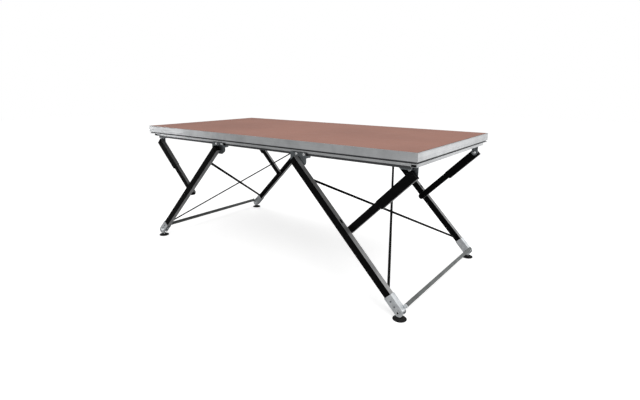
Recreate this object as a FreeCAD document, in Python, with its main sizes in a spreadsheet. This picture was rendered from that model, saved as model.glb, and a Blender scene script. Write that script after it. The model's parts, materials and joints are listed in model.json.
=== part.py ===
import FreeCAD, Part
import os
import re

# Folding stage riser: a framed deck on two leg frames. Each leg is hinged to a trolley that
# runs in a rail under the deck, and to a strut of half its length that is hinged to the deck
# straight above the foot, so the feet rise plumb as the legs fold up under the deck.
# Origin: on the floor under the middle of the deck. X runs along the deck, Z is up.

sizes = {
    "deck_length": 2000, "deck_width": 1000, "deck_height": 800,
    "board_thick": 15, "board_gap": 0.5,
    "rim_height": 52, "rim_depth": 32, "rim_wall": 3, "rim_groove": 8, "rim_foot": 12,
    "rim_flange_reach": 26, "rim_flange_thick": 4, "rim_flange_inset": 1,
    "joist_width": 40, "joist_pitch": 600, "joist_wall": 2.5,
    "rail_inset": 60, "rail_width": 32, "rail_height": 40, "rail_wall": 3, "rail_slot": 16,
    "end_inset": 45, "end_rail_width": 30, "end_rail_height": 18, "end_rail_side_gap": 30,
    "cleat_reach": 60, "cleat_thick": 6, "cleat_gap": 0.2,
    "pivot_drop": 112, "foot_pivot_height": 42, "leg_length": 906,
    "leg_side_inset": 1, "leg_depth": 30, "leg_width": 40, "leg_wall": 3, "leg_plug": 24, "leg_head": 22,
    "shoe_wall": 3, "shoe_length": 88, "shoe_overlap": 16, "shoe_lug_reach": 13,
    "tie_tube": 18, "tie_wall": 2, "tie_rise": 27, "tie_back": 4,
    "brace_width": 15, "brace_thick": 4, "brace_split": 1, "brace_top": 120, "brace_bottom": 102,
    "brace_lug": 24, "brace_lug_width": 18, "brace_end_gap": 8,
    "strut_depth": 26, "strut_wall": 2, "strut_bar_width": 38, "strut_drop": 6,
    "strut_sleeve_length": 224, "strut_overlap": 74, "strut_head": 12,
    "ear_thick": 6, "ear_radius": 22, "ear_gap": 3,
    "bracket_reach": 55, "bracket_thick": 6, "bracket_radius": 17,
    "trolley_length": 104, "trolley_thick": 12, "trolley_gap": 2, "trolley_side_height": 30,
    "trolley_neck": 12, "trolley_head_height": 10,
    "bolt_radius": 6, "bolt_head_radius": 10, "bolt_head_height": 7, "bolt_clearance": 0.1,
    "foot_radius": 34, "foot_edge": 4, "foot_height": 12, "foot_top_radius": 15, "foot_seat": 6,
    "foot_eye_radius": 13, "foot_eye_gap": 3, "foot_nut_radius": 11, "foot_nut_height": 6,
    "screw_radius": 4, "screw_height": 3, "screw_pitch": 30,
}

doc = FreeCAD.newDocument("stage_riser")
sheet = doc.addObject("Spreadsheet::Sheet", "Sizes")
for row, (alias, value) in enumerate(sizes.items(), start=1):
    sheet.set("A%d" % row, alias)
    sheet.set("B%d" % row, str(value))
    sheet.setAlias("B%d" % row, alias)
doc.recompute()

nodes = {}                                   # node name -> document object
y_axis = FreeCAD.Vector(0, 1, 0)
z_axis = FreeCAD.Vector(0, 0, 1)
alias_words = re.compile(r"\b(%s)\b" % "|".join(sorted(sizes, key=len, reverse=True)))

# Places that several pieces share, as sheet expressions.
rim_z = "(deck_height - rim_height)"
seat_z = "(deck_height - board_thick)"
chamber_z = "(deck_height - rim_height + rim_foot)"
rail_z = "(%s - rail_height)" % chamber_z
pivot_z = "(deck_height - pivot_drop)"
drop = "(deck_height - pivot_drop - foot_pivot_height)"
run = "sqrt(leg_length * leg_length - %s * %s)" % (drop, drop)
lean = "asin(%s / leg_length)" % drop
outer_x = "(deck_length / 2 - end_inset)"
inner_x = "(%s - %s)" % (outer_x, run)
leg_out = "(deck_width / 2 - leg_side_inset)"
leg_in = "(%s - leg_depth)" % leg_out
rail_mid = "(deck_width / 2 - rail_inset)"
rail_in = "(%s - rail_width / 2)" % rail_mid
strut_out = "(%s + strut_depth / 2)" % rail_mid


def bind(obj, prop, expression):
    """Bind one property to an expression in sheet aliases."""
    obj.setExpression(prop, alias_words.sub(r"Sizes.\1", str(expression)))


def place(obj, x="0", y="0", z="0", axis=None, angle=None):
    """Bind the object's position, and its turn about one axis."""
    if axis is not None:
        obj.Placement = FreeCAD.Placement(FreeCAD.Vector(), FreeCAD.Rotation(axis, 10))
        bind(obj, "Placement.Rotation.Angle", angle)
    bind(obj, "Placement.Base.x", x)
    bind(obj, "Placement.Base.y", y)
    bind(obj, "Placement.Base.z", z)
    return obj


def box(low, size):
    """A box from its low corner and its three sizes."""
    obj = doc.addObject("Part::Box", "box")
    for prop, expression in zip(("Length", "Width", "Height"), size):
        bind(obj, prop, expression)
    return place(obj, *low)


def rod(low, radius, length):
    """A round bar along +Y from the middle of its low end."""
    obj = doc.addObject("Part::Cylinder", "rod")
    bind(obj, "Radius", radius)
    bind(obj, "Height", length)
    obj.Placement.Rotation = FreeCAD.Rotation(FreeCAD.Vector(1, 0, 0), -90)
    return place(obj, *low)


def post(low, radius, height):
    """A round bar along +Z from the middle of its low end."""
    obj = doc.addObject("Part::Cylinder", "post")
    bind(obj, "Radius", radius)
    bind(obj, "Height", height)
    return place(obj, *low)


def hexagon(low, radius, height, upright=False):
    """A six-sided nut or bolt head along +Y, or +Z when upright."""
    obj = doc.addObject("Part::Prism", "hexagon")
    obj.Polygon = 6
    bind(obj, "Circumradius", radius)
    bind(obj, "Height", height)
    if not upright:
        obj.Placement.Rotation = FreeCAD.Rotation(FreeCAD.Vector(1, 0, 0), -90)
    return place(obj, *low)


def fuse(*pieces):
    obj = doc.addObject("Part::MultiFuse", "fuse")
    obj.Shapes = list(pieces)
    return obj


def cut(base, *tools):
    obj = doc.addObject("Part::Cut", "cut")
    obj.Base = base
    obj.Tool = tools[0] if len(tools) == 1 else fuse(*tools)
    return obj


def common(first, second):
    obj = doc.addObject("Part::Common", "common")
    obj.Base = first
    obj.Tool = second
    return obj


def group(*pieces):
    """Separate solids in one node."""
    obj = doc.addObject("Part::Compound", "group")
    obj.Links = list(pieces)
    return obj


def mirror(source, normal):
    obj = doc.addObject("Part::Mirroring", "mirror")
    obj.Source = source
    obj.Normal = normal
    return obj


def node(name, obj):
    obj.Label = name
    nodes[name] = obj
    return obj


def both_sides(name, front):
    """The front piece and its twin across the XZ plane."""
    return [(name + "_front", front), (name + "_back", mirror(front, y_axis))]


def both_ends(pieces):
    """The right end's pieces and their twins across the YZ plane."""
    for name, piece in pieces:
        node("right_" + name, piece)
        node("left_" + name, mirror(piece, FreeCAD.Vector(1, 0, 0)))


def leg_plane(obj):
    """Lay a piece along the leg: X down the leg from its top pivot, Z square to it."""
    return place(obj, inner_x, "0", pivot_z, y_axis, lean)


def strut_plane(obj):
    """Lay a piece along the strut: X from its deck pivot to the knee, Z on its lower side."""
    return place(obj, outer_x, "0", pivot_z, y_axis, "180 deg - %s" % lean)


def rim(length, x, y, turn):
    """One side of the edge profile, mitred: a box section with a lip above and a groove below."""
    wall = "rim_wall"
    web_low = "rim_groove"
    chamber_top = "(rim_height - board_thick)"
    section = fuse(
        box(("0", "0", "rim_foot"), (length, "rim_depth", chamber_top + " - rim_foot")),
        box(("0", "0", "rim_foot"), (length, wall, "rim_height - rim_foot")),
        box(("0", web_low, "0"), (length, wall, "rim_foot + rim_wall")),
        box(("0", "rim_flange_inset", "0"), (length, "rim_flange_reach", "rim_flange_thick")))
    hollow = box(("0", wall, "rim_foot + rim_wall"),
                 (length, "rim_depth - 2 * rim_wall", chamber_top + " - rim_foot - 2 * rim_wall"))
    mitre = doc.addObject("Part::Wedge", "mitre")
    for prop, expression in (("Xmin", "0"), ("Xmax", length), ("Ymin", "0"), ("Ymax", "rim_depth"),
                             ("Zmin", "0"), ("Zmax", "rim_height"), ("Z2min", "0"),
                             ("Z2max", "rim_height"), ("X2min", "rim_depth"),
                             ("X2max", length + " - rim_depth")):
        bind(mitre, prop, expression)
    return place(common(cut(section, hollow), mitre), x, y, rim_z, z_axis, turn)


def deck():
    half_x = "deck_length / 2"
    half_y = "deck_width / 2"
    edge = "(rim_wall + board_gap)"
    node("deck_board", box(("-%s + %s" % (half_x, edge), "-%s + %s" % (half_y, edge), seat_z),
                           ("deck_length - 2 * " + edge, "deck_width - 2 * " + edge,
                            "board_thick")))
    node("rim_front", rim("deck_length", "-" + half_x, "-" + half_y, "0"))
    node("rim_back", rim("deck_length", half_x, half_y, "180"))
    node("rim_right", rim("deck_width", half_x, "-" + half_y, "90"))
    node("rim_left", rim("deck_width", "-" + half_x, half_y, "270"))
    for name, place_x in (("left", "-joist_pitch"), ("middle", "0"), ("right", "joist_pitch")):
        length = "deck_width - 2 * rim_depth"
        low_y = "rim_depth - deck_width / 2"
        height = "(%s - %s)" % (seat_z, chamber_z)
        tube = box((place_x + " - joist_width / 2", low_y, chamber_z),
                   ("joist_width", length, height))
        bore = box((place_x + " - joist_width / 2 + joist_wall", low_y, chamber_z + " + joist_wall"),
                   ("joist_width - 2 * joist_wall", length, height + " - 2 * joist_wall"))
        node("joist_" + name, cut(tube, bore))


def corner_cleats():
    """Angle pieces inside the four corners, under the board and against both rims."""
    reach_x = "(deck_length / 2 - rim_depth - cleat_gap)"
    reach_y = "(deck_width / 2 - rim_depth - cleat_gap)"
    height = "%s - %s - 2 * cleat_gap" % (seat_z, chamber_z)
    low_z = chamber_z + " + cleat_gap"
    cleat = fuse(
        box((reach_x + " - cleat_reach", "-" + reach_y, low_z),
            ("cleat_reach", "cleat_thick", height)),
        box((reach_x + " - cleat_thick", "-" + reach_y, low_z),
            ("cleat_thick", "cleat_reach", height)))
    back = mirror(cleat, y_axis)
    x_axis = FreeCAD.Vector(1, 0, 0)
    node("corner_cleats", group(cleat, back, mirror(cleat, x_axis), mirror(back, x_axis)))


def rails():
    """Two slotted rails for the trolleys, closed at each end by a cross rail."""
    wall = "rail_wall"
    outside = box(("-" + outer_x, "-%s - rail_width / 2" % rail_mid, rail_z),
                  ("2 * " + outer_x, "rail_width", "rail_height"))
    inside = box(("-" + outer_x, "-%s - rail_width / 2 + rail_wall" % rail_mid,
                  rail_z + " + rail_wall"),
                 ("2 * " + outer_x, "rail_width - 2 * rail_wall", "rail_height - 2 * rail_wall"))
    slot = box(("-" + outer_x, "-%s - rail_slot / 2" % rail_mid, rail_z),
               ("2 * " + outer_x, "rail_slot", wall))
    front = cut(outside, inside, slot)
    node("rail_front", front)
    node("rail_back", mirror(front, y_axis))
    low_y = "end_rail_side_gap - deck_width / 2"
    length = "deck_width - 2 * end_rail_side_gap"
    low_z = rim_z + " - end_rail_height"
    tube = box((outer_x, low_y, low_z), ("end_rail_width", length, "end_rail_height"))
    bore = box((outer_x + " + joist_wall", low_y, low_z + " + joist_wall"),
               ("end_rail_width - 2 * joist_wall", length, "end_rail_height - 2 * joist_wall"))
    both_ends([("end_rail", cut(tube, bore))])


def strut_brackets():
    """An ear on the rail's inner side with a foot plate under the rail."""
    inner_face = "-" + rail_in
    bracket = cut(
        fuse(box(("-bracket_radius", inner_face, pivot_z),
                 ("2 * bracket_radius", "ear_thick",
                  "pivot_drop - rim_height - end_rail_height - trolley_gap")),
             box(("-bracket_reach", inner_face, rail_z + " - bracket_thick"),
                 ("bracket_reach", "ear_thick", "rail_height")),
             rod(("0", inner_face, pivot_z), "bracket_radius", "ear_thick"),
             box(("-bracket_reach", "-%s - rail_width / 2" % rail_mid, rail_z + " - bracket_thick"),
                 ("bracket_reach", "rail_width + ear_thick", "bracket_thick"))),
        rod(("0", inner_face, pivot_z), "bolt_radius", "ear_thick"))
    both_ends(both_sides("strut_bracket", place(bracket, outer_x)))


def bolt(x, y_low, y_high, z):
    """A bolt along Y that grips from y_low to y_high, with its head on the low side."""
    grip = "(%s) - (%s)" % (y_high, y_low)
    return fuse(rod((x, y_low, z), "bolt_radius", grip + " + bolt_head_height"),
                hexagon((x, "%s - bolt_head_height" % y_low, z), "bolt_head_radius",
                        "bolt_head_height"),
                hexagon((x, y_high, z), "bolt_head_radius", "bolt_head_height"))


def strut_bolts():
    front = bolt(outer_x, "-%s - bolt_clearance" % strut_out, "ear_thick - %s" % rail_in, pivot_z)
    both_ends([("strut_bolts", group(front, mirror(front, y_axis)))])


def leg():
    """A box tube with a solid head, drilled for the trolley pivot and the knee."""
    end = "leg_length - shoe_length + shoe_overlap"
    body = box(("-leg_head", "-" + leg_out, "-leg_width / 2"),
               ("leg_head + " + end, "leg_depth", "leg_width"))
    bore = box(("leg_plug", "-%s + leg_wall" % leg_out, "leg_wall - leg_width / 2"),
               (end + " - leg_plug", "leg_depth - 2 * leg_wall", "leg_width - 2 * leg_wall"))
    pivot = rod(("0", "-" + leg_out, "0"), "bolt_radius", "leg_depth")
    knee = rod(("leg_length / 2", "-" + leg_out, "0"), "bolt_radius", "leg_depth")
    return leg_plane(cut(body, bore, pivot, knee))


def shoe():
    """The U-shaped end of the leg, open underneath for the foot, with a lug for the tie tube."""
    half = "(leg_width / 2 + shoe_wall)"
    outer_y = "-%s - shoe_wall" % leg_out
    depth = "leg_depth + 2 * shoe_wall"
    start = "leg_length - shoe_length"
    body = fuse(box((start, outer_y, "-" + half), ("shoe_length", depth, "2 * " + half)),
                rod(("leg_length", outer_y, "0"), half, depth),
                box(("leg_length - tie_back - tie_tube / 2", "-" + leg_in, "0"),
                    ("tie_tube", "shoe_wall", "tie_rise + shoe_lug_reach")))
    hollow = box((start, "-" + leg_out, "-2 * " + half),
                 ("shoe_length + 2 * " + half, "leg_depth", "2 * %s + leg_width / 2" % half))
    bore = rod(("leg_length", outer_y, "0"), "bolt_radius", depth)
    return leg_plane(cut(body, hollow, bore))


def tie_tube():
    """The square tube that joins the two shoes of a leg frame."""
    low_x = "leg_length - tie_back - tie_tube / 2"
    low_y = "shoe_wall - " + leg_in
    length = "2 * (%s - shoe_wall)" % leg_in
    tube = box((low_x, low_y, "tie_rise - tie_tube / 2"), ("tie_tube", length, "tie_tube"))
    bore = box((low_x + " + tie_wall", low_y, "tie_rise - tie_tube / 2 + tie_wall"),
               ("tie_tube - 2 * tie_wall", length, "tie_tube - 2 * tie_wall"))
    return leg_plane(cut(tube, bore))


def brace(side):
    """A flat bar from high on one leg to low on the other; side is 1 or -1."""
    rise = "(leg_length - brace_top - brace_bottom)"
    span = "(2 * %s)" % leg_in
    reach = "sqrt(%s * %s + %s * %s)" % (rise, rise, span, span)
    low_z = "brace_split / 2" if side > 0 else "-brace_split / 2 - brace_thick"
    bar = box(("brace_end_gap", "-brace_width / 2", "0"),
              (reach + " - 2 * brace_end_gap", "brace_width", "brace_thick"))
    turned = fuse(bar, box(("brace_end_gap", "-brace_width / 2", "0"),
                           ("brace_width", "brace_width", "brace_thick")))
    place(turned, "brace_top", "-%d * %s" % (side, leg_in), low_z, z_axis,
          "%d * atan(%s / %s)" % (side, span, rise))
    lugs = []
    for along, face in (("brace_top", -side), ("leg_length - brace_bottom", side)):
        low_y = "%s - brace_thick" % leg_in if face > 0 else "-" + leg_in
        lugs.append(box((along + " - brace_lug / 2", low_y, "-brace_lug_width / 2"),
                        ("brace_lug", "brace_thick", "brace_lug_width")))
    return leg_plane(fuse(turned, *lugs))


def frame_bolts():
    """Top pivot, knee and foot bolts of one leg frame, as bolts in the leg plane."""
    shoe_face = "-%s - shoe_wall" % leg_out
    knee_bolt = fuse(
        bolt("leg_length / 2", "-" + leg_out, "strut_depth / 2 - %s" % rail_mid, "0"),
        rod(("leg_length / 2", "-" + leg_in, "0"), "bolt_head_radius",
            "%s - %s + strut_wall - bolt_clearance" % (leg_in, strut_out)))
    fronts = [bolt("0", "-" + leg_out, "-" + rail_in, "0"), knee_bolt,
              bolt("leg_length", shoe_face, "shoe_wall - " + leg_in, "0")]
    pieces = [leg_plane(front) for front in fronts]
    return group(*(pieces + [mirror(piece, y_axis) for piece in pieces]))


def shoe_screws():
    """Two button screws through each shoe's outer wall into the leg's end."""
    outer_y = "-%s - shoe_wall - screw_height" % leg_out
    screws = []
    for along in ("leg_length - screw_pitch", "leg_length - 2 * screw_pitch"):
        head = rod((along, outer_y, "0"), "screw_radius", "screw_height")
        socket = hexagon((along, outer_y, "0"), "screw_radius / 2", "screw_height / 2")
        screws.append(leg_plane(cut(head, socket)))
    return group(*(screws + [mirror(screw, y_axis) for screw in screws]))


def leg_frame():
    both_ends(both_sides("leg", leg()) + both_sides("shoe", shoe())
              + [("tie_tube", tie_tube()), ("brace_upper", brace(1)), ("brace_lower", brace(-1)),
                 ("frame_bolts", frame_bolts()), ("shoe_screws", shoe_screws())])


def strut_sleeve():
    """The wide half of the strut, a box tube with a solid head at the deck pivot."""
    high_side = "(strut_bar_width / 2 + strut_wall)"
    height = "(strut_bar_width + 2 * strut_wall + strut_drop)"
    low_y = "-" + strut_out
    body = box(("-strut_head", low_y, "-" + high_side),
               ("strut_head + strut_sleeve_length", "strut_depth", height))
    bore = box(("ear_radius", low_y + " + strut_wall", "strut_wall - " + high_side),
               ("strut_sleeve_length - ear_radius", "strut_depth - 2 * strut_wall",
                height + " - 2 * strut_wall"))
    hole = rod(("0", low_y, "0"), "bolt_radius + bolt_clearance", "strut_depth")
    return strut_plane(cut(body, bore, hole))


def strut_bar():
    """The narrow half of the strut, from inside the sleeve to the knee."""
    low_y = "strut_wall - " + strut_out
    depth = "strut_depth - 2 * strut_wall"
    start = "strut_sleeve_length - strut_overlap"
    body = fuse(box((start, low_y, "-strut_bar_width / 2"),
                    ("leg_length / 2 - (%s)" % start, depth, "strut_bar_width")),
                rod(("leg_length / 2", low_y, "0"), "strut_bar_width / 2", depth))
    hole = rod(("leg_length / 2", low_y, "0"), "bolt_radius + bolt_clearance", depth)
    return strut_plane(cut(body, hole))


def trolley():
    """The leg's slider: a T head in the rail, and a block with a plate and an ear below it."""
    ear_y = "-%s + ear_gap" % leg_in
    inner_y = "-%s - ear_thick" % rail_in
    block_z = rail_z + " - trolley_gap - trolley_thick"
    side_depth = "%s - ear_gap - (%s + rail_width / 2 + ear_gap)" % (leg_in, rail_mid)
    body = fuse(
        box(("-trolley_length / 2", ear_y, block_z),
            ("trolley_length", "%s - ear_gap - %s" % (leg_in, rail_in), "trolley_thick")),
        box(("-trolley_length / 2", ear_y, block_z),
            ("trolley_length", side_depth, "trolley_side_height")),
        box(("-ear_radius", inner_y, pivot_z),
            ("2 * ear_radius", "ear_thick", "%s - %s" % (block_z, pivot_z))),
        rod(("0", inner_y, pivot_z), "ear_radius", "ear_thick"),
        box(("-trolley_length / 2", ear_y, pivot_z),
            ("trolley_length", "ear_thick", "%s - %s" % (block_z, pivot_z))),
        box(("ear_radius - trolley_length / 2", ear_y, pivot_z + " - ear_radius"),
            ("trolley_length - 2 * ear_radius", "ear_thick", "ear_radius")),
        rod(("ear_radius - trolley_length / 2", ear_y, pivot_z), "ear_radius", "ear_thick"),
        rod(("trolley_length / 2 - ear_radius", ear_y, pivot_z), "ear_radius", "ear_thick"),
        box(("-trolley_length / 2", "-%s - trolley_neck / 2" % rail_mid, block_z),
            ("trolley_length", "trolley_neck", "trolley_thick + 2 * trolley_gap + rail_wall")),
        box(("-trolley_length / 2", "-%s - rail_width / 2 + rail_wall + trolley_gap" % rail_mid,
             rail_z + " + rail_wall + trolley_gap"),
            ("trolley_length", "rail_width - 2 * rail_wall - 2 * trolley_gap",
             "trolley_head_height")))
    hole = rod(("0", ear_y, pivot_z), "bolt_radius + bolt_clearance",
               "%s - ear_gap - %s" % (leg_in, rail_in))
    return place(cut(body, hole), inner_x)


def foot_spindle():
    """A threaded spindle with an eye for the foot bolt and a lock nut."""
    eye_y = "-%s + foot_eye_gap" % leg_out
    eye_depth = "leg_depth - 2 * foot_eye_gap"
    mid_y = "-%s + leg_depth / 2" % leg_out
    body = fuse(rod(("0", eye_y, "foot_pivot_height"), "foot_eye_radius", eye_depth),
                post(("0", mid_y, "foot_seat"), "bolt_radius", "foot_pivot_height - foot_seat"),
                hexagon(("0", mid_y, "foot_height + ear_gap"), "foot_nut_radius",
                        "foot_nut_height", upright=True))
    hole = rod(("0", eye_y, "foot_pivot_height"), "bolt_radius + bolt_clearance", eye_depth)
    return place(cut(body, hole), outer_x)


def foot_pad():
    """A round rubber foot: a short rim, a cone above it and a seat for the spindle."""
    mid_y = "-%s + leg_depth / 2" % leg_out
    cone = doc.addObject("Part::Cone", "cone")
    bind(cone, "Radius1", "foot_radius")
    bind(cone, "Radius2", "foot_top_radius")
    bind(cone, "Height", "foot_height - foot_edge")
    place(cone, "0", mid_y, "foot_edge")
    body = fuse(post(("0", mid_y, "0"), "foot_radius", "foot_edge"), cone)
    seat = post(("0", mid_y, "foot_seat"), "bolt_radius", "foot_height - foot_seat")
    return place(cut(body, seat), outer_x)


deck()
corner_cleats()
rails()
strut_brackets()
strut_bolts()
leg_frame()
both_ends(both_sides("strut_sleeve", strut_sleeve()) + both_sides("strut_bar", strut_bar())
          + both_sides("trolley", trolley()) + both_sides("foot_spindle", foot_spindle())
          + both_sides("foot_pad", foot_pad()))
doc.recompute()

for obj in doc.Objects:
    if "Invalid" in obj.State or "Error" in obj.State:
        raise RuntimeError("failed: %s %s" % (obj.Label, obj.State))
os.makedirs("parts", exist_ok=True)
for name, obj in nodes.items():
    shape = obj.Shape
    if shape.isNull() or not shape.isValid():
        raise RuntimeError("bad shape: " + name)
for name, obj in nodes.items():
    obj.Shape.exportStep("parts/%s.step" % name)
    print("%-28s solids %d volume %.0f" % (name, len(obj.Shape.Solids), obj.Shape.Volume))
print("nodes", len(nodes))
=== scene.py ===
import json
import math
import bmesh
import bpy
import numpy as np
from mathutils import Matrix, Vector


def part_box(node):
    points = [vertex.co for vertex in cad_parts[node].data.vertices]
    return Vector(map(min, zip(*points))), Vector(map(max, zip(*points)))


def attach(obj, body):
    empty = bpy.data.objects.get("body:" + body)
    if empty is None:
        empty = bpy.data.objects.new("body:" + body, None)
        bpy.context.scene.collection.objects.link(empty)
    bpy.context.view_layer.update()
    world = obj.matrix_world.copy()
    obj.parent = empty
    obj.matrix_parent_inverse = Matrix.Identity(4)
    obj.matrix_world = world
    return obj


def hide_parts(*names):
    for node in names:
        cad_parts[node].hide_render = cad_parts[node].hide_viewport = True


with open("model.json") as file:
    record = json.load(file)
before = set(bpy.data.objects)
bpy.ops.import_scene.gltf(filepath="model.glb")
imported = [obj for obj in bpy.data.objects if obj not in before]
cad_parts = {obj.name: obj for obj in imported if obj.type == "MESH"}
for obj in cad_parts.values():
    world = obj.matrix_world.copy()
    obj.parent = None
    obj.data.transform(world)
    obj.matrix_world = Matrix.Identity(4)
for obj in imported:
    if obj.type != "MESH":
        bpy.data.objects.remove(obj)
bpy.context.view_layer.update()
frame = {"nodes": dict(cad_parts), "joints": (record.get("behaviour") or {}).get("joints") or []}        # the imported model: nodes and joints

print("frame loaded:", len(frame["nodes"]), "nodes")

jointAt = {joint["name"]: np.array(joint["pos_m"]) for joint in frame["joints"]}
ends = (("right", 1), ("left", -1))      # each end's name and its sign along x
sides = (("front", -1), ("back", 1))     # each side's name and its sign along y


def boxOf(node):
    # a node's lowest and highest corner
    low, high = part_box(node)
    return np.array(low), np.array(high)


def joinSurfaces(parts):
    # one vertex array and one face list from several
    verts, faces, shift = [], [], 0
    for partVerts, partFaces in parts:
        verts.append(partVerts)
        faces += [tuple(index + shift for index in face) for face in partFaces]
        shift += len(partVerts)
    return np.vstack(verts), faces


def placeIn(surface, origin, axes):
    # local (a, b, c) goes to origin + a*axes[0] + b*axes[1] + c*axes[2]; a mirrored frame turns its faces
    verts, faces = surface
    axes = np.array(axes, float)
    if np.linalg.det(axes) < 0:
        faces = [face[::-1] for face in faces]
    return verts @ axes + np.array(origin, float), faces


def gridFaces(rows, columns):
    # quads between neighbouring rows of points, each row a closed ring: point = row * columns + column
    r, c = [grid.ravel() for grid in np.meshgrid(np.arange(rows - 1), np.arange(columns), indexing="ij")]
    here, after = r * columns + c, r * columns + (c + 1) % columns
    quads = np.stack([here, after, after + columns, here + columns], 1)
    return [tuple(quad) for quad in quads.tolist()]


def sweepSection(outline, length, mitre=0.0):
    # a closed outline (b, c) carried from a = 0 to a = length; each end leans inward by mitre * b
    outline = np.array(outline, float)
    count = len(outline)
    lean = mitre * outline[:, 0]
    low = np.column_stack([lean, outline])
    high = np.column_stack([length - lean, outline])
    faces = gridFaces(2, count)
    faces = [face[::-1] for face in faces]
    faces.append(tuple(range(count)))
    faces.append(tuple(range(2 * count - 1, count - 1, -1)))
    area = np.sum(outline[:, 0] * np.roll(outline[:, 1], -1) - np.roll(outline[:, 0], -1) * outline[:, 1])
    if area > 0:
        faces = [face[::-1] for face in faces]
    return np.vstack([low, high]), faces


def latheSurface(profile, turns=48, radiusOf=None):
    # a profile (radius, height) turned about the c axis; radiusOf(radius, height, angle) may shape it
    profile = np.array(profile, float)
    angle = np.linspace(0, 2 * np.pi, turns, endpoint=False)
    radius = np.repeat(profile[:, :1], turns, 1)
    height = np.repeat(profile[:, 1:], turns, 1)
    if radiusOf is not None:
        radius = radiusOf(radius, height, angle[None, :])
    verts = np.stack([radius * np.cos(angle), radius * np.sin(angle), height], 2).reshape(-1, 3)
    rows = len(profile)
    faces = gridFaces(rows, turns)
    faces.append(tuple(range(turns - 1, -1, -1)))
    faces.append(tuple(range((rows - 1) * turns, rows * turns)))
    return verts, faces


def hexRadius(flat):
    # distance to a hexagon's side at an angle: flat / cos(angle within a sixth turn), capped by the profile
    def shape(radius, height, angle):
        sixth = np.pi / 3
        toSide = flat / np.cos((angle % sixth) - sixth / 2)
        return np.minimum(radius, np.where(radius > flat * 0.9, toSide, radius))
    return shape


def makePiece(name, surface, body, material, replaces=(), bevel=0.0, sharp=35, second=()):
    # one object at the origin with its place in its mesh, riding on a body; second lists the
    # faces that take the second material
    verts, faces = surface
    mesh = bpy.data.meshes.new(name)
    mesh.from_pydata(verts.tolist(), [], faces)
    mesh.validate()
    mesh.update()
    for face in second:
        mesh.polygons[face].material_index = 1
    return finishPiece(name, mesh, body, material, replaces, bevel, sharp)


def finishPiece(name, mesh, body, material, replaces, bevel, sharp):
    # materials, shading, a rounded edge, and what the piece rides on and replaces
    obj = bpy.data.objects.new(name, mesh)
    bpy.context.scene.collection.objects.link(obj)
    for entry in (material if isinstance(material, (list, tuple)) else [material]):
        mesh.materials.append(entry)
    mesh.shade_smooth()
    mesh.set_sharp_from_angle(angle=math.radians(sharp))
    if bevel > 0:
        edge = obj.modifiers.new("edge", "BEVEL")
        edge.width = bevel
        edge.segments = 2
        edge.limit_method = "ANGLE"
        edge.angle_limit = math.radians(30)
        edge.harden_normals = True
    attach(obj, body)
    if replaces:
        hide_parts(*replaces)
    return obj


def refineNode(node, body, material, slotName, bevel, slope=0):
    # a merged copy of a CAD node with softened edges; slope is the sign of x * z in the normals of
    # the long narrow sides that take the second material
    source = frame["nodes"][node]
    mesh = source.data.copy()
    mesh.name = node + ".fine"
    mesh.materials.clear()
    shell = bmesh.new()
    shell.from_mesh(mesh)
    bmesh.ops.remove_doubles(shell, verts=shell.verts, dist=2e-6)
    bmesh.ops.dissolve_limit(shell, angle_limit=math.radians(2), verts=shell.verts, edges=shell.edges)
    for face in shell.faces:
        face.material_index = 1 if slope * face.normal.x * face.normal.z > 0.3 else 0
    shell.to_mesh(mesh)
    shell.free()
    return finishPiece(node + ".fine", mesh, body, material, (node,), bevel, 35)


def paintNode(node, material):
    # a node whose shape stays gets a material of its own
    materials = frame["nodes"][node].data.materials
    materials.clear()
    materials.append(material)


class NodeTree:
    # a short way to write shader nodes
    def __init__(self, name):
        self.material = bpy.data.materials.new(name)
        self.material.use_nodes = True
        self.tree = self.material.node_tree
        self.shader = self.tree.nodes["Principled BSDF"]

    def add(self, kind, **inputs):
        node = self.tree.nodes.new("ShaderNode" + kind)
        for key, value in inputs.items():
            self.feed(node, key, value)
        return node

    def feed(self, node, key, value):
        # Base_Color names a socket, and i1 is its number; a socket is linked and a constant is set
        socket = node.inputs[int(key[1:]) if key[1:].isdigit() else key.replace("_", " ")]
        if isinstance(value, bpy.types.NodeSocket):
            self.tree.links.new(value, socket)
        else:
            socket.default_value = value

    def objectSpace(self, scale=(1, 1, 1)):
        coords = self.add("TexCoord")
        mapping = self.add("Mapping", Vector=coords.outputs["Object"], Scale=scale)
        return mapping.outputs["Vector"]

    def noise(self, vector, scale, detail=4.0, roughness=0.55):
        node = self.add("TexNoise", Vector=vector, Scale=scale, Detail=detail, Roughness=roughness)
        return node.outputs["Fac"]

    def ramp(self, value, start, stop):
        # a grey ramp between two (place, shade) stops
        node = self.add("ValToRGB", Fac=value)
        for element, (place, shade) in zip(node.color_ramp.elements, (start, stop)):
            element.position = place
            element.color = (shade, shade, shade, 1)
        return node.outputs["Color"]

    def blend(self, factor, first, second, mode="MIX"):
        # the two are (r, g, b) constants or colour sockets
        first, second = [shade if isinstance(shade, bpy.types.NodeSocket) else tuple(shade) + (1,)
                         for shade in (first, second)]
        node = self.add("MixRGB", Fac=factor, Color1=first, Color2=second)
        node.blend_type = mode
        return node.outputs["Color"]

    def math(self, operation, first, second=0.0):
        node = self.add("Math", i0=first, i1=second)
        node.operation = operation
        return node.outputs["Value"]

    def range(self, value, low, high):
        return self.add("MapRange", Value=value, To_Min=low, To_Max=high).outputs["Result"]

    def bump(self, height, strength, distance):
        node = self.add("Bump", Height=height, Strength=strength, Distance=distance)
        self.feed(self.shader, "Normal", node.outputs["Normal"])

    def surface(self, **inputs):
        for key, value in inputs.items():
            self.feed(self.shader, key, value)
        return self.material


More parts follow.
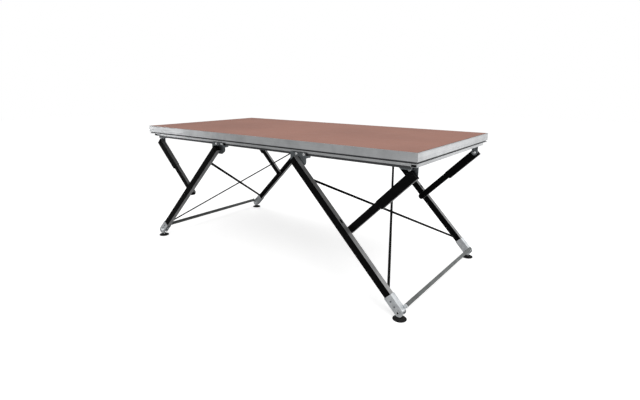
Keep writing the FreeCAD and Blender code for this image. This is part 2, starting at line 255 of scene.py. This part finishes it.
boardLook = {
    "film": (0.340, 0.153, 0.110), "filmDark": (0.235, 0.102, 0.073), "filmPale": (0.430, 0.225, 0.170),
    "meshLine": (0.12, 0.055, 0.042), "meshPitch": 0.0045, "meshDepth": 0.0002,
    "broadScale": 1.7, "blotchScale": 14.0, "scuffScale": 6.0, "scuffStretch": (1.0, 9.0, 1.0),
    "grainScale": 900.0,
    "roughness": 0.50, "shine": 0.26, "topFrom": 0.7985, "under": (0.055, 0.050, 0.046),
    "sealWidth": 0.0022, "seal": (0.012, 0.012, 0.012),
}


def floorBoardMaterial():
    # phenolic film with a pressed mesh: crossed waves at the mesh pitch, blotches and pale scuffs, a
    # dark bead of sealant round its rim, and a dark colour on all faces below the top
    look = boardLook
    tree = NodeTree("floorBoard")
    space = tree.objectSpace()
    broad = tree.noise(space, look["broadScale"], 3.0)
    blotch = tree.noise(space, look["blotchScale"], 5.0)
    scuff = tree.noise(tree.objectSpace(look["scuffStretch"]), look["scuffScale"], 8.0, 0.7)
    colour = tree.blend(tree.ramp(broad, (0.35, 0.0), (0.68, 0.55)), look["film"], look["filmDark"])
    colour = tree.blend(tree.ramp(blotch, (0.52, 0.0), (0.78, 0.35)), colour, look["filmPale"])
    colour = tree.blend(tree.ramp(scuff, (0.60, 0.0), (0.74, 0.30)), colour, look["filmPale"])
    waves = []
    for axis in ("X", "Y"):
        wave = tree.add("TexWave", Vector=space, Scale=math.pi / 10 / look["meshPitch"])
        wave.bands_direction = axis
        waves.append(wave.outputs["Fac"])
    mesh = tree.math("MULTIPLY", waves[0], waves[1])
    grain = tree.noise(space, look["grainScale"], 2.0)
    height = tree.math("ADD", mesh, tree.math("MULTIPLY", grain, 0.4))
    tree.bump(height, 0.35, look["meshDepth"])
    colour = tree.blend(tree.math("MULTIPLY", mesh, 0.22), colour, look["meshLine"])
    place = tree.add("SeparateXYZ", Vector=space).outputs
    corner = boxOf("deck_board")[1] - look["sealWidth"]
    past = [tree.math("GREATER_THAN", tree.math("ABSOLUTE", place[axis]), float(corner[axis]))
            for axis in (0, 1)]
    colour = tree.blend(tree.math("MAXIMUM", *past), colour, look["seal"])
    under = tree.math("LESS_THAN", place["Z"], look["topFrom"])
    colour = tree.blend(under, colour, look["under"])
    rough = tree.range(blotch, look["roughness"] - 0.06, look["roughness"] + 0.10)
    return tree.surface(Base_Color=colour, Roughness=rough, Specular_IOR_Level=look["shine"])


metalLook = {
    "aluminium": (0.66, 0.67, 0.68), "aluminiumDull": (0.50, 0.51, 0.52), "dieLine": (0.36, 0.37, 0.38),
    # the last factor on the next line darkens the aluminium in grooves and recesses: painted shade
    "nick": (0.30, 0.31, 0.32), "dieAcross": 260.0, "dieAlong": 1.3, "groove": 0.16,
    "zinc": (0.74, 0.77, 0.79), "zincPale": (0.90, 0.92, 0.94),
    # the next pair is a darker copy of the zinc: painted shade for the trolleys and strut brackets under the
    # deck
    "zincShaded": (0.11, 0.12, 0.127), "zincShadedPale": (0.22, 0.238, 0.25),
    "zincDark": (0.20, 0.21, 0.22), "zincDarkPale": (0.30, 0.31, 0.32),
    "bright": (0.72, 0.73, 0.74), "brightPale": (0.80, 0.81, 0.82),
    "zincStain": (0.24, 0.26, 0.27), "spangle": 210.0,
    "legSide": (0.42, 0.42, 0.42), "legSideStain": (0.27, 0.27, 0.275),
    "tube": (0.145, 0.154, 0.151), "tubeStain": (0.100, 0.106, 0.104),
}


def aluminiumMaterial(name, along, paintedShade=1.0):
    # die lines: noise stretched along the extrusion, with soft stains and a few nicks; a factor below 1
    # multiplies the colour down as painted shade for grooves and recesses
    look = metalLook
    tree = NodeTree(name)
    stretch = [look["dieAcross"]] * 3
    stretch["XYZ".index(along)] = look["dieAlong"]
    lines = tree.noise(tree.objectSpace(stretch), 1.0, 3.0, 0.6)
    space = tree.objectSpace()
    stain = tree.noise(space, 9.0, 5.0, 0.6)
    nick = tree.noise(space, 160.0, 2.0, 0.5)
    colour = tree.blend(tree.ramp(stain, (0.40, 0.0), (0.72, 1.0)), look["aluminium"], look["aluminiumDull"])
    colour = tree.blend(tree.ramp(lines, (0.35, 0.0), (0.75, 0.30)), colour, look["dieLine"])
    colour = tree.blend(tree.ramp(nick, (0.70, 0.0), (0.76, 0.5)), colour, look["nick"])
    # painted shade: the colour is multiplied down for faces in grooves and recesses
    if paintedShade < 1:
        colour = tree.blend(1.0, colour, (paintedShade, paintedShade, paintedShade * 1.03), "MULTIPLY")
    tree.bump(lines, 0.16, 0.0004)
    return tree.surface(Base_Color=colour, Roughness=tree.range(lines, 0.24, 0.42), Metallic=1.0)


def zincMaterial(name, tone, smooth, rough):
    # plated sheet steel: spangle cells of slightly different tone, with fine grain
    look = metalLook
    tree = NodeTree(name)
    space = tree.objectSpace()
    cells = tree.add("TexVoronoi", Vector=space, Scale=look["spangle"]).outputs["Color"]
    share = tree.math("MULTIPLY", tree.ramp(cells, (0.0, 0.0), (1.0, 1.0)), 0.6)
    cloud = tree.noise(space, 38.0, 5.0, 0.6)
    colour = tree.blend(share, look[tone], look[tone + "Pale"])
    colour = tree.blend(tree.ramp(cloud, (0.42, 0.0), (0.70, 0.45)), colour, look["zincStain"])
    tree.bump(tree.noise(space, 700.0, 2.0), 0.10, 0.0003)
    return tree.surface(Base_Color=colour, Roughness=tree.range(cloud, smooth, rough), Metallic=1.0)


def greySideMaterial():
    # the bare narrow sides of the leg sections: dull drawn aluminium
    look = metalLook
    tree = NodeTree("legSides")
    space = tree.objectSpace()
    stain = tree.noise(space, 16.0, 5.0, 0.6)
    colour = tree.blend(tree.ramp(stain, (0.38, 0.0), (0.72, 1.0)), look["legSide"], look["legSideStain"])
    tree.bump(tree.noise(space, 520.0, 2.0), 0.10, 0.0003)
    return tree.surface(Base_Color=colour, Roughness=tree.range(stain, 0.34, 0.50), Metallic=0.85)


def tubeMaterial():
    # plain grey steel tube, clouded by handling
    look = metalLook
    tree = NodeTree("greyTube")
    space = tree.objectSpace()
    stain = tree.noise(space, 22.0, 5.0, 0.6)
    colour = tree.blend(tree.ramp(stain, (0.40, 0.0), (0.75, 1.0)), look["tube"], look["tubeStain"])
    tree.bump(tree.noise(space, 650.0, 2.0), 0.10, 0.0003)
    return tree.surface(Base_Color=colour, Roughness=tree.range(stain, 0.32, 0.46), Metallic=0.7)


paintLook = {
    "black": (0.0016, 0.0016, 0.0017), "blackWorn": (0.0045, 0.0045, 0.0047), "shine": 0.05,
    "coatRoughness": 0.42, "notchShadeRoughness": 0.70,
    "rubber": (0.007, 0.007, 0.007), "rubberDust": (0.022, 0.021, 0.020), "rubberShine": 0.25,
}


def blackCoatMaterial(name, roughness):
    # satin powder coat: orange-peel bump, and a little dust where the noise is high
    look = paintLook
    tree = NodeTree(name)
    space = tree.objectSpace()
    dust = tree.noise(space, 24.0, 6.0, 0.65)
    colour = tree.blend(tree.ramp(dust, (0.50, 0.0), (0.80, 1.0)), look["black"], look["blackWorn"])
    tree.bump(tree.noise(space, 620.0, 2.0), 0.12, 0.0004)
    return tree.surface(Base_Color=colour, Roughness=tree.range(dust, roughness - 0.06, roughness + 0.10),
                        Specular_IOR_Level=look["shine"])


def rubberMaterial():
    # matt rubber, grey with dust where the noise is high
    look = paintLook
    tree = NodeTree("footRubber")
    space = tree.objectSpace()
    dust = tree.noise(space, 60.0, 5.0, 0.6)
    colour = tree.blend(tree.ramp(dust, (0.48, 0.0), (0.80, 1.0)), look["rubber"], look["rubberDust"])
    tree.bump(tree.noise(space, 900.0, 2.0), 0.22, 0.0003)
    return tree.surface(Base_Color=colour, Roughness=tree.range(dust, 0.55, 0.75),
                        Specular_IOR_Level=look["rubberShine"])


boardFilm = floorBoardMaterial()
aluminiumX = aluminiumMaterial("aluminiumLong", "X")
aluminiumY = aluminiumMaterial("aluminiumCross", "Y")
# darkened copies of the aluminium for faces in grooves and recesses: painted shade
grooveX = aluminiumMaterial("grooveLong", "X", metalLook["groove"])
grooveY = aluminiumMaterial("grooveCross", "Y", metalLook["groove"])
zincSheet = zincMaterial("zincSheet", "zinc", 0.26, 0.44)
# painted shade: a darker copy of the zinc for the trolleys and strut brackets under the deck
shadedZinc = zincMaterial("shadedZinc", "zincShaded", 0.30, 0.48)
darkZinc = zincMaterial("darkZinc", "zincDark", 0.30, 0.46)
brightZinc = zincMaterial("brightZinc", "bright", 0.16, 0.30)
blackCoat = blackCoatMaterial("blackCoat", paintLook["coatRoughness"])
legSides = greySideMaterial()
greyTube = tubeMaterial()
footRubber = rubberMaterial()
# painted shade: the black of the oval pieces that stand for a dark notch on each leg
notchShadeBlack = blackCoatMaterial("notchShadeBlack", paintLook["notchShadeRoughness"])
print("materials made")


cameraLook = {
    "place": (1.72415, -2.16947, 1.07117), "azimuth": 37.988, "elevation": 14.58, "roll": 0.102,
    "lens": 23.845, "sensor": 36.0, "shiftX": 0.01729, "shiftY": -0.00599,
}


def matrixOf(right, up, back, place):
    # a pose as four columns, one after another: the three axes, then the place
    matrix = np.eye(4)
    matrix[:3] = np.column_stack([right, up, back, place])
    return matrix.T.tolist()


def makeCamera():
    # azimuth from the front towards the right, elevation upward, then a slight roll
    look = cameraLook
    azimuth, elevation, roll = (math.radians(look[key]) for key in ("azimuth", "elevation", "roll"))
    back = np.array([math.sin(azimuth) * math.cos(elevation), -math.cos(azimuth) * math.cos(elevation),
                     math.sin(elevation)])
    right = np.array([math.cos(azimuth), math.sin(azimuth), 0.0])
    up = np.cross(back, right)
    turnedRight = right * math.cos(roll) + up * math.sin(roll)
    turnedUp = up * math.cos(roll) - right * math.sin(roll)
    data = bpy.data.cameras.new("camera")
    data.lens, data.sensor_width = look["lens"], look["sensor"]
    data.shift_x, data.shift_y = look["shiftX"], look["shiftY"]
    data.clip_end = 60
    camera = bpy.data.objects.new("camera", data)
    bpy.context.scene.collection.objects.link(camera)
    camera.matrix_world = matrixOf(turnedRight, turnedUp, back, look["place"])
    bpy.context.scene.camera = camera


def areaLight(name, place, target, size, power):
    # a rectangle that faces its target
    data = bpy.data.lights.new(name, "AREA")
    data.shape = "RECTANGLE"
    data.size, data.size_y = size
    data.energy = power
    lamp = bpy.data.objects.new(name, data)
    bpy.context.scene.collection.objects.link(lamp)
    back = np.array(place, float) - np.array(target, float)
    back /= np.linalg.norm(back)
    right = np.cross((0, 0, 1), back)
    right /= np.linalg.norm(right)
    lamp.matrix_world = matrixOf(right, np.cross(back, right), back, place)


lightLook = {
    # each lamp has its name, place, target, size in metres and power in watts
    "worldStrength": 0.52, "floorReach": 14.0, "floorTone": 0.80, "floorBounce": 0.55, "floorGlow": 0.60,
    "lamps": (("key", (3.4, -2.6, 3.6), (0.2, 0, 0.7), (2.6, 2.0), 110.0),
              ("top", (-0.6, 0.6, 3.8), (0, 0, 0.7), (3.0, 2.0), 40.0),
              ("panel", (2.95, 3.0, 0.85), (0.95, 0.1, 0.75), (2.4, 1.6), 13.0),
              ("front", (1.2, -5.0, 1.0), (0.6, -0.5, 0.7), (2.0, 1.4), 20.0),
              ("edge", (-3.3, -2.1, 0.60), (-0.84, -0.5, 0.77), (0.24, 0.42), 2.2)),
}


def makeStudio():
    # a soft pale world that the camera sees as white, five lamps and a wide floor
    look = lightLook
    scene = bpy.context.scene
    scene.view_settings.view_transform = "Standard"
    world = bpy.data.worlds.new("studio")
    scene.world = world
    world.use_nodes = True
    tree = world.node_tree
    tree.nodes.clear()
    path = tree.nodes.new("ShaderNodeLightPath")
    plain = tree.nodes.new("ShaderNodeBackground")
    plain.inputs["Color"].default_value = (1, 1, 1, 1)
    plain.inputs["Strength"].default_value = look["worldStrength"]
    white = tree.nodes.new("ShaderNodeBackground")
    white.inputs["Color"].default_value = (1, 1, 1, 1)
    mix = tree.nodes.new("ShaderNodeMixShader")
    out = tree.nodes.new("ShaderNodeOutputWorld")
    tree.links.new(path.outputs["Is Camera Ray"], mix.inputs[0])
    tree.links.new(plain.outputs[0], mix.inputs[1])
    tree.links.new(white.outputs[0], mix.inputs[2])
    tree.links.new(mix.outputs[0], out.inputs[0])
    for lamp in look["lamps"]:
        areaLight(*lamp)
    reach = look["floorReach"]
    mesh = bpy.data.meshes.new("floor")
    mesh.from_pydata([(-reach, -reach, 0), (reach, -reach, 0), (reach, reach, 0), (-reach, reach, 0)], [],
                     [(0, 1, 2, 3)])
    floor = bpy.data.objects.new("floor", mesh)
    scene.collection.objects.link(floor)
    mesh.materials.append(floorMaterial())


def floorMaterial():
    # pale matt floor: seen directly it glows up to the backdrop's white but keeps its shadows
    look = lightLook
    tree = NodeTree("paleFloor")
    nodes, links = tree.tree.nodes, tree.tree.links
    out = nodes["Material Output"]
    seen = tree.add("LightPath").outputs["Is Camera Ray"]
    tone, bounce = look["floorTone"], look["floorBounce"]
    shade = tree.blend(seen, (bounce, bounce, bounce), (tone, tone, tone))
    tree.surface(Base_Color=shade, Roughness=0.9, Specular_IOR_Level=0.0)
    glow = tree.add("Emission", Color=(1, 1, 1, 1), Strength=tree.math("MULTIPLY", seen, look["floorGlow"]))
    both = nodes.new("ShaderNodeAddShader")
    links.new(tree.shader.outputs[0], both.inputs[0])
    links.new(glow.outputs[0], both.inputs[1])
    links.new(both.outputs[0], out.inputs["Surface"])
    return tree.material


makeCamera()
makeStudio()
print("camera and studio made")


rimLook = {
    # outline of the edge extrusion: (inward from the outer face, up from its foot), metres
    "outline": ((0.0, 0.012), (0.0, 0.0225), (0.0007, 0.0235), (0.0007, 0.0485), (0.0, 0.0495),
                (0.0, 0.052), (0.003, 0.052), (0.003, 0.037), (0.032, 0.037), (0.032, 0.012),
                (0.011, 0.012), (0.011, 0.004), (0.027, 0.004), (0.027, 0.0), (0.001, 0.0),
                (0.001, 0.004), (0.008, 0.004), (0.008, 0.012)),
    # the outline's sides that take painted shade: those in the outer groove, and those of the recess behind
    # its web
    "edge": 0.0004, "paintedShade": (10, 11, 12, 15, 16, 17),
}


def makeRims():
    # the outline carried along each side of the deck, both ends mitred to meet the next side
    look = rimLook
    runs = {"rim_front": ((1, 0), (0, 1)), "rim_back": ((-1, 0), (0, -1)),
            "rim_right": ((0, 1), (-1, 0)), "rim_left": ((0, -1), (1, 0))}
    for node, (along, inward) in runs.items():
        low, high = boxOf(node)
        along3, inward3 = np.array(along + (0,), float), np.array(inward + (0,), float)
        corner = np.where(along3 + inward3 > 0, low, high)
        corner[2] = low[2]
        length = abs(np.dot(high - low, along3))
        section = sweepSection(look["outline"], length, mitre=1.0)
        surface = placeIn(section, corner, (along3, inward3, (0, 0, 1)))
        metal = (aluminiumX, grooveX) if along[0] else (aluminiumY, grooveY)
        makePiece(node + ".fine", surface, "deck", metal, (node,), look["edge"],
                  second=look["paintedShade"])


railLook = {
    "wall": 0.003, "slot": 0.016, "edge": 0.0005, "bead": 0.0016, "lineAt": 0.20, "lineHigh": 0.0035,
    # the outline's sides that take painted shade: those in the bead lines, the strip below one of them, and
    # the inside
    "paintedShade": (2, 3, 4, 9, 10, 11, 14, 15, 16, 17, 18),
}


def makeRails():
    # a C section, open below, with a shallow bead line along each flank
    look = railLook
    for node in ("rail_front", "rail_back"):
        low, high = boxOf(node)
        width, height = high[1] - low[1], high[2] - low[2]
        wall, slot, bead = look["wall"], look["slot"] / 2, look["bead"]
        middle = width / 2
        line = height * look["lineAt"]
        right = [(middle + slot, 0), (width, 0), (width, line), (width - bead, line),
                 (width - bead, line + look["lineHigh"]), (width, line + look["lineHigh"]), (width, height)]
        left = [(width - b, c) for b, c in reversed(right)]
        inner = [(middle - slot, wall), (wall, wall), (wall, height - wall), (width - wall, height - wall),
                 (width - wall, wall), (middle + slot, wall)]
        surface = placeIn(sweepSection(right + left + inner, high[0] - low[0]), low, np.eye(3))
        makePiece(node + ".fine", surface, "deck", (aluminiumX, grooveX), (node,),
                  look["edge"], second=look["paintedShade"])


steelLook = {"joistEdge": 0.0010, "endRailEdge": 0.0012, "cleatEdge": 0.0005, "bracketEdge": 0.0007}


def makeDeckSteel():
    # the joists, end rails, cleats and brackets keep their shape and get softened edges
    look = steelLook
    for name in ("left", "middle", "right"):
        refineNode("joist_" + name, "deck", aluminiumY, "mill_aluminium", look["joistEdge"])
    for end, _ in ends:
        refineNode(end + "_end_rail", "deck", aluminiumY, "mill_aluminium", look["endRailEdge"])
    refineNode("corner_cleats", "deck", zincSheet, "zinc_steel", look["cleatEdge"])
    for end, _ in ends:
        for side, _ in sides:
            refineNode("%s_strut_bracket_%s" % (end, side), "deck", shadedZinc, "zinc_steel",
                       look["bracketEdge"])
    paintNode("deck_board", boardFilm)


makeRims()
makeRails()
makeDeckSteel()
print("deck made")


sectionLook = {"legEdge": 0.0016, "sleeveEdge": 0.0014, "barEdge": 0.0012, "shoeEdge": 0.0009,
               "tubeEdge": 0.0018, "braceEdge": 0.0007, "trolleyEdge": 0.0009}


def makeLinks():
    # bare aluminium shows on both narrow sides of every leg and strut; their wide faces are black
    look = sectionLook
    profile = ([blackCoat, legSides], "black_leg_profile")
    for end, sx in ends:
        legs = end + "_leg_frame"
        for side, _ in sides:
            tail = "_" + side
            strut, trolley = end + "_strut" + tail, end + "_trolley" + tail
            refineNode(end + "_leg" + tail, legs, *profile, look["legEdge"], sx)
            refineNode(end + "_shoe" + tail, legs, zincSheet, "zinc_steel", look["shoeEdge"])
            refineNode(end + "_strut_sleeve" + tail, strut, *profile, look["sleeveEdge"], -sx)
            refineNode(end + "_strut_bar" + tail, strut, *profile, look["barEdge"], -sx)
            refineNode(trolley, trolley, shadedZinc, "zinc_steel", look["trolleyEdge"])
        refineNode(end + "_tie_tube", legs, greyTube, "grey_steel_tube", look["tubeEdge"])
        for brace in ("_brace_upper", "_brace_lower"):
            refineNode(end + brace, legs, blackCoat, "black_steel", look["braceEdge"])


makeLinks()
print("legs and struts made")


boltLook = {
    "shaft": 0.006, "flat": 0.0086, "head": 0.0055, "washer": 0.0118, "washerThick": 0.0012, "soften": 0.0004,
    "cap": 0.0030, "capRim": 0.0012, "nut": 0.0064, "tail": 0.002, "chamfer": 0.0011,
    # socket: a black ring on each foot bolt's head, painted shade for its hex socket
    "socket": 0.0046, "socketInner": 0.0020, "socketHigh": 0.0006,
    "spacer": 0.0100, "spacerInset": 0.0012, "spacerRise": 0.0008,
    "bite": 0.003, "tieAlong": 0.902, "tieRise": 0.0315, "tieFlat": 0.0057, "tieHead": 0.0052,
}


def hexHead():
    # a hexagon with its outer rim chamfered, seated on a washer; local c runs into the work
    look = boltLook
    flat, chamfer = look["flat"], look["chamfer"]
    wide = flat / math.cos(math.pi / 6)
    washerTop = -look["washerThick"]
    headLow = washerTop - look["head"]
    profile = [(flat * 0.30, headLow), (flat * 0.55, headLow), (flat * 0.86, headLow),
               (wide * 0.965, headLow + chamfer * 0.8), (wide, headLow + chamfer * 1.6), (wide, washerTop),
               (flat * 0.95, washerTop)]
    head = latheSurface(profile, 48, hexRadius(flat))
    washer = latheSurface([(look["washer"] - look["soften"], washerTop), (look["washer"], washerTop + 0.0003),
                           (look["washer"], -0.0003), (look["washer"] - look["soften"], 0.0)], 40)
    return joinSurfaces([head, washer])


def capHead():
    # a low domed cap over a pivot: the height falls with the square of the radius
    look = boltLook
    share = np.linspace(0.06, 1, 12)
    rise = look["cap"] * (1 - share ** 2) + look["capRim"]
    profile = np.column_stack([look["washer"] * share, -rise])
    profile = np.vstack([profile, [[look["washer"], 0.0]]])
    return latheSurface(profile, 48)


def shaftAndNut(grip):
    # a round shaft as long as the grip, a hexagonal nut with both rims chamfered, and a short round tail
    look = boltLook
    wide = look["flat"] / math.cos(math.pi / 6)
    chamfer = look["chamfer"]
    shaft = latheSurface([(look["shaft"], -0.0005), (look["shaft"], grip + 0.0005)], 28)
    nutHigh = grip + look["nut"]
    nut = latheSurface([(look["flat"] * 0.95, grip), (wide * 0.97, grip + 0.0002), (wide, grip + chamfer),
                        (wide, nutHigh - chamfer), (look["flat"] * 0.88, nutHigh)],
                       48, hexRadius(look["flat"]))
    tail = latheSurface([(look["shaft"] - 0.0004, nutHigh - 0.0003),
                         (look["shaft"] - 0.0002, nutHigh + look["tail"] * 0.6),
                         (look["shaft"] - 0.0014, nutHigh + look["tail"])], 28)
    return joinSurfaces([shaft, nut, tail])


def boltAxes(sy):
    # local c runs inward from the outer face, whichever side the bolt is on
    return (1, 0, 0), (0, 0, sy), (0, -sy, 0)


def spacerRing(length):
    # a short drum with both rims softened
    look = boltLook
    rim, inset, rise = look["spacer"], look["spacerInset"], look["spacerRise"]
    return latheSurface([(rim - inset, 0.0), (rim, rise), (rim, length - rise), (rim - inset, length)], 40)


def tieHead():
    # a small hexagon with a chamfered rim; local c runs into the work
    look = boltLook
    high = look["tieHead"]
    return latheSurface([(0.0030, -high), (0.0056, -high), (0.0066, 0.0008 - high), (0.0066, 0.0)], 36,
                        hexRadius(look["tieFlat"]))


def makeBolts():
    # through bolts at the trolley, the knee and the foot, the struts' upper bolts, and the tie's ends
    look = boltLook
    for end, sx in ends:
        bright, capsAndSocketShades, strutParts, strutCaps, tieParts = [], [], [], [], []
        legOut, legIn = (abs(corner[1]) for corner in boxOf(end + "_leg_front"))
        shoeOut = abs(boxOf(end + "_shoe_front")[0][1])
        plateIn = abs(boxOf(end + "_trolley_front")[1][1])
        strutOut = abs(boxOf(end + "_strut_sleeve_front")[0][1])
        bracketIn = abs(boxOf(end + "_strut_bracket_front")[1][1])
        barIn = abs(boxOf(end + "_strut_bar_front")[1][1])
        knee, foot = jointAt[end + "_knee"], jointAt[end + "_foot_swivel_front"]
        top, pivot = jointAt[end + "_trolley_pivot_front"], jointAt[end + "_fold"]
        down = (foot - top)[[0, 2]] / np.linalg.norm((foot - top)[[0, 2]])
        square = np.array([-down[1], down[0]]) * sx      # square to the leg, on its upper side
        tie = top[[0, 2]] + down * look["tieAlong"] + square * look["tieRise"]
        through = ((top, legOut, plateIn, capHead), (knee, legOut, barIn - look["bite"], capHead),
                   (foot, shoeOut, legIn - look["bite"], hexHead))
        for _, sy in sides:
            axes = boltAxes(sy)
            for spot, outer, inner, head in through:
                origin = (spot[0], sy * outer, spot[2])
                group = bright if head is hexHead else capsAndSocketShades
                group.append(placeIn(shaftAndNut(outer - inner), origin, axes))
                group.append(placeIn(head(), origin, axes))
            # a black ring on each foot bolt's head: painted shade for its hex socket
            socket = latheSurface([(look["socketInner"], 0.0), (look["socket"], 0.0),
                                   (look["socket"], look["socketHigh"])], 32)
            face = shoeOut + look["washerThick"] + look["head"] + look["socketHigh"] / 2
            capsAndSocketShades.append(placeIn(socket, (foot[0], sy * face, foot[2]), axes))
            spacer = spacerRing(legIn - strutOut + look["bite"])
            bright.append(placeIn(spacer, (knee[0], sy * legIn, knee[2]), axes))
            origin = (pivot[0], sy * strutOut, pivot[2])
            strutParts.append(placeIn(shaftAndNut(strutOut - bracketIn), origin, axes))
            strutCaps.append(placeIn(capHead(), origin, axes))
            tieParts.append(placeIn(tieHead(), (tie[0], sy * legIn, tie[1]), axes))
        frameBody = end + "_leg_frame"
        makePiece(end + "_frame_bolts.fine", joinSurfaces(bright), frameBody, brightZinc,
                  (end + "_frame_bolts",), sharp=30)
        makePiece(end + "_pivot_caps_and_socket_shades", joinSurfaces(capsAndSocketShades), frameBody, blackCoat, sharp=50)
        makePiece(end + "_tie_bolts", joinSurfaces(tieParts), frameBody, brightZinc,
                  sharp=30)
        makePiece(end + "_strut_bolts.fine", joinSurfaces(strutParts), "deck", brightZinc,
                  (end + "_strut_bolts",), sharp=30)
        makePiece(end + "_strut_caps", joinSurfaces(strutCaps), "deck", blackCoat, sharp=50)
        paintNode(end + "_shoe_screws", darkZinc)


makeBolts()
print("bolts made")


notchShadeLook = {
    "along": 0.397, "lift": 0.020, "length": 0.024, "width": 0.012, "thick": 0.0009, "points": 40,
    # share of the outline and share of the thickness, from the middle out and down into the face
    "rings": ((0.35, 0.55), (0.8, 0.8), (0.95, 1.0), (1.0, 0.6), (1.0, -0.3)),
}


def notchShadeSurface():
    # a superellipse whose rings rise to a soft rim and drop into the face
    look = notchShadeLook
    count = look["points"]
    turn = np.linspace(0, 2 * np.pi, count, endpoint=False)
    rings = []
    for share, rise in look["rings"]:
        along = np.sign(np.cos(turn)) * np.abs(np.cos(turn)) ** 0.6 * look["length"] / 2 * share
        across = np.sin(turn) * look["width"] / 2 * share
        rings.append(np.column_stack([along, across, np.full(count, look["thick"] * rise)]))
    faces = [face[::-1] for face in gridFaces(len(rings), count)]
    faces.append(tuple(range(count)))
    faces.append(tuple(range(len(rings) * count - 1, (len(rings) - 1) * count - 1, -1)))
    return np.vstack(rings), faces


def makeNotchShades():
    # a black oval piece on each leg's upper side: painted shade for a dark notch there
    look = notchShadeLook
    for end, sx in ends:
        top, foot = jointAt[end + "_trolley_pivot_front"], jointAt[end + "_foot_swivel_front"]
        down = (foot - top) / np.linalg.norm(foot - top)
        square = np.array([-down[2] * sx, 0, down[0] * sx])
        low, high = boxOf(end + "_leg_front")
        parts = []
        for _, sy in sides:
            origin = top + down * look["along"] + square * look["lift"]
            origin[1] = sy * abs(low[1] + high[1]) / 2
            parts.append(placeIn(notchShadeSurface(), origin, (down, np.cross(square, down), square)))
        makePiece(end + "_notch_shades", joinSurfaces(parts), end + "_leg_frame", notchShadeBlack,
                  sharp=50)


makeNotchShades()
print("plugs made")


footLook = {
    "radius": 0.034, "rib": 0.0007, "ribs": 40, "ribBand": 0.0030,
    "eyeRadius": 0.013, "eyeRound": 0.0015, "eyeHalf": 0.012,
    "spindle": 0.006, "screwLow": 0.006, "screwShort": 0.008,
    "pitch": 0.00175, "depth": 0.0006, "rowsPerPitch": 10,
    "nutFlat": 0.0095, "nutLow": 0.015, "nutHigh": 0.021, "nutChamfer": 0.001,
}


def footPad():
    # radius against height of the rubber: a grooved rim, a dished shoulder and a collar round the spindle
    look = footLook
    r = look["radius"]
    profile = [(r - 0.0060, 0.0), (r - 0.0012, 0.0), (r - 0.0002, 0.0008), (r, 0.0016), (r, 0.0036),
               (r - 0.0006, 0.0046), (r - 0.0030, 0.0056), (r - 0.0080, 0.0072), (r - 0.0120, 0.0088),
               (r - 0.0145, 0.0104), (r - 0.0152, 0.0114), (r - 0.0160, 0.0119), (r - 0.0180, 0.0120),
               (0.0068, 0.0120), (0.0064, 0.0112)]

    def ribbed(radius, height, angle):
        # ribs round the rim only: a cosine in the angle, faded in by radius
        share = np.clip((radius - (r - look["ribBand"])) / look["ribBand"], 0, 1)
        return radius - share * look["rib"] * (0.5 + 0.5 * np.cos(look["ribs"] * angle))
    return latheSurface(profile, 240, ribbed)


def spindle(top):
    # a screw: the radius falls and rises once per pitch, and its phase turns with the angle
    look = footLook
    rows = int((top - look["screwLow"]) / look["pitch"] * look["rowsPerPitch"])
    heights = np.linspace(look["screwLow"], top, rows)
    profile = np.column_stack([np.full(rows, look["spindle"]), heights])

    def threaded(radius, height, angle):
        phase = (height / look["pitch"] - angle / (2 * np.pi)) % 1.0
        return radius - look["depth"] * np.abs(2 * phase - 1)
    return latheSurface(profile, 36, threaded)


def footEye():
    # a short drum on the swivel's axis, each rim rounded in two steps
    look = footLook
    radius, half, rounding = look["eyeRadius"], look["eyeHalf"], look["eyeRound"]
    step = rounding * 0.3
    rim = [(radius - rounding, half), (radius - step, half - step), (radius, half - rounding)]
    return latheSurface([(r, -h) for r, h in rim] + rim[::-1], 48)


def footNut():
    # a hexagonal lock nut above the rubber, both rims chamfered
    look = footLook
    flat, low, high, chamfer = look["nutFlat"], look["nutLow"], look["nutHigh"], look["nutChamfer"]
    wide = flat / math.cos(math.pi / 6)
    profile = [(flat * 0.9, low), (wide, low + chamfer), (wide, high - chamfer), (flat * 0.9, high)]
    return latheSurface(profile, 48, hexRadius(flat))


def makeFeet():
    look = footLook
    for end, _ in ends:
        for side, _ in sides:
            body = "%s_foot_%s" % (end, side)
            padNode, spindleNode = "%s_foot_pad_%s" % (end, side), "%s_foot_spindle_%s" % (end, side)
            pivot = jointAt["%s_foot_swivel_%s" % (end, side)]
            ground = (pivot[0], pivot[1], 0.0)
            pad = placeIn(footPad(), ground, np.eye(3))
            makePiece(padNode + ".fine", pad, body, footRubber, (padNode,), sharp=50)
            eye = placeIn(footEye(), pivot, boltAxes(-1))
            screw = placeIn(spindle(pivot[2] - look["screwShort"]), ground, np.eye(3))
            nut = placeIn(footNut(), ground, np.eye(3))
            makePiece(spindleNode + ".fine", joinSurfaces([eye, screw, nut]), body, brightZinc,
                      (spindleNode,), sharp=40)


makeFeet()
print("feet made")


guideLook = {"offsets": (-0.010, 0.040), "drop": 0.009, "radius": 0.0085, "thick": 0.0042, "sink": 0.0005}


def guideDome():
    # the height rises steeply at the rim and flattens towards the middle
    look = guideLook
    r, h = look["radius"], look["thick"]
    return latheSurface([(r, -look["sink"]), (r, h * 0.35), (r * 0.93, h * 0.65), (r * 0.75, h * 0.87),
                         (r * 0.45, h * 0.98), (r * 0.1, h)], 40)


def makeGuides():
    # two domed guide bolts on each trolley's outer flank
    look = guideLook
    for end, _ in ends:
        for side, sy in sides:
            name = "%s_trolley_%s" % (end, side)
            low, high = boxOf(name)
            middle = (low[0] + high[0]) / 2
            face = max(abs(low[1]), abs(high[1]))
            parts = []
            for offset in look["offsets"]:
                origin = (middle + offset, sy * face, high[2] - look["drop"])
                parts.append(placeIn(guideDome(), origin, boltAxes(-sy)))
            makePiece(name + "_guides", joinSurfaces(parts), name, brightZinc, sharp=45)


makeGuides()
print("trolley fittings made")
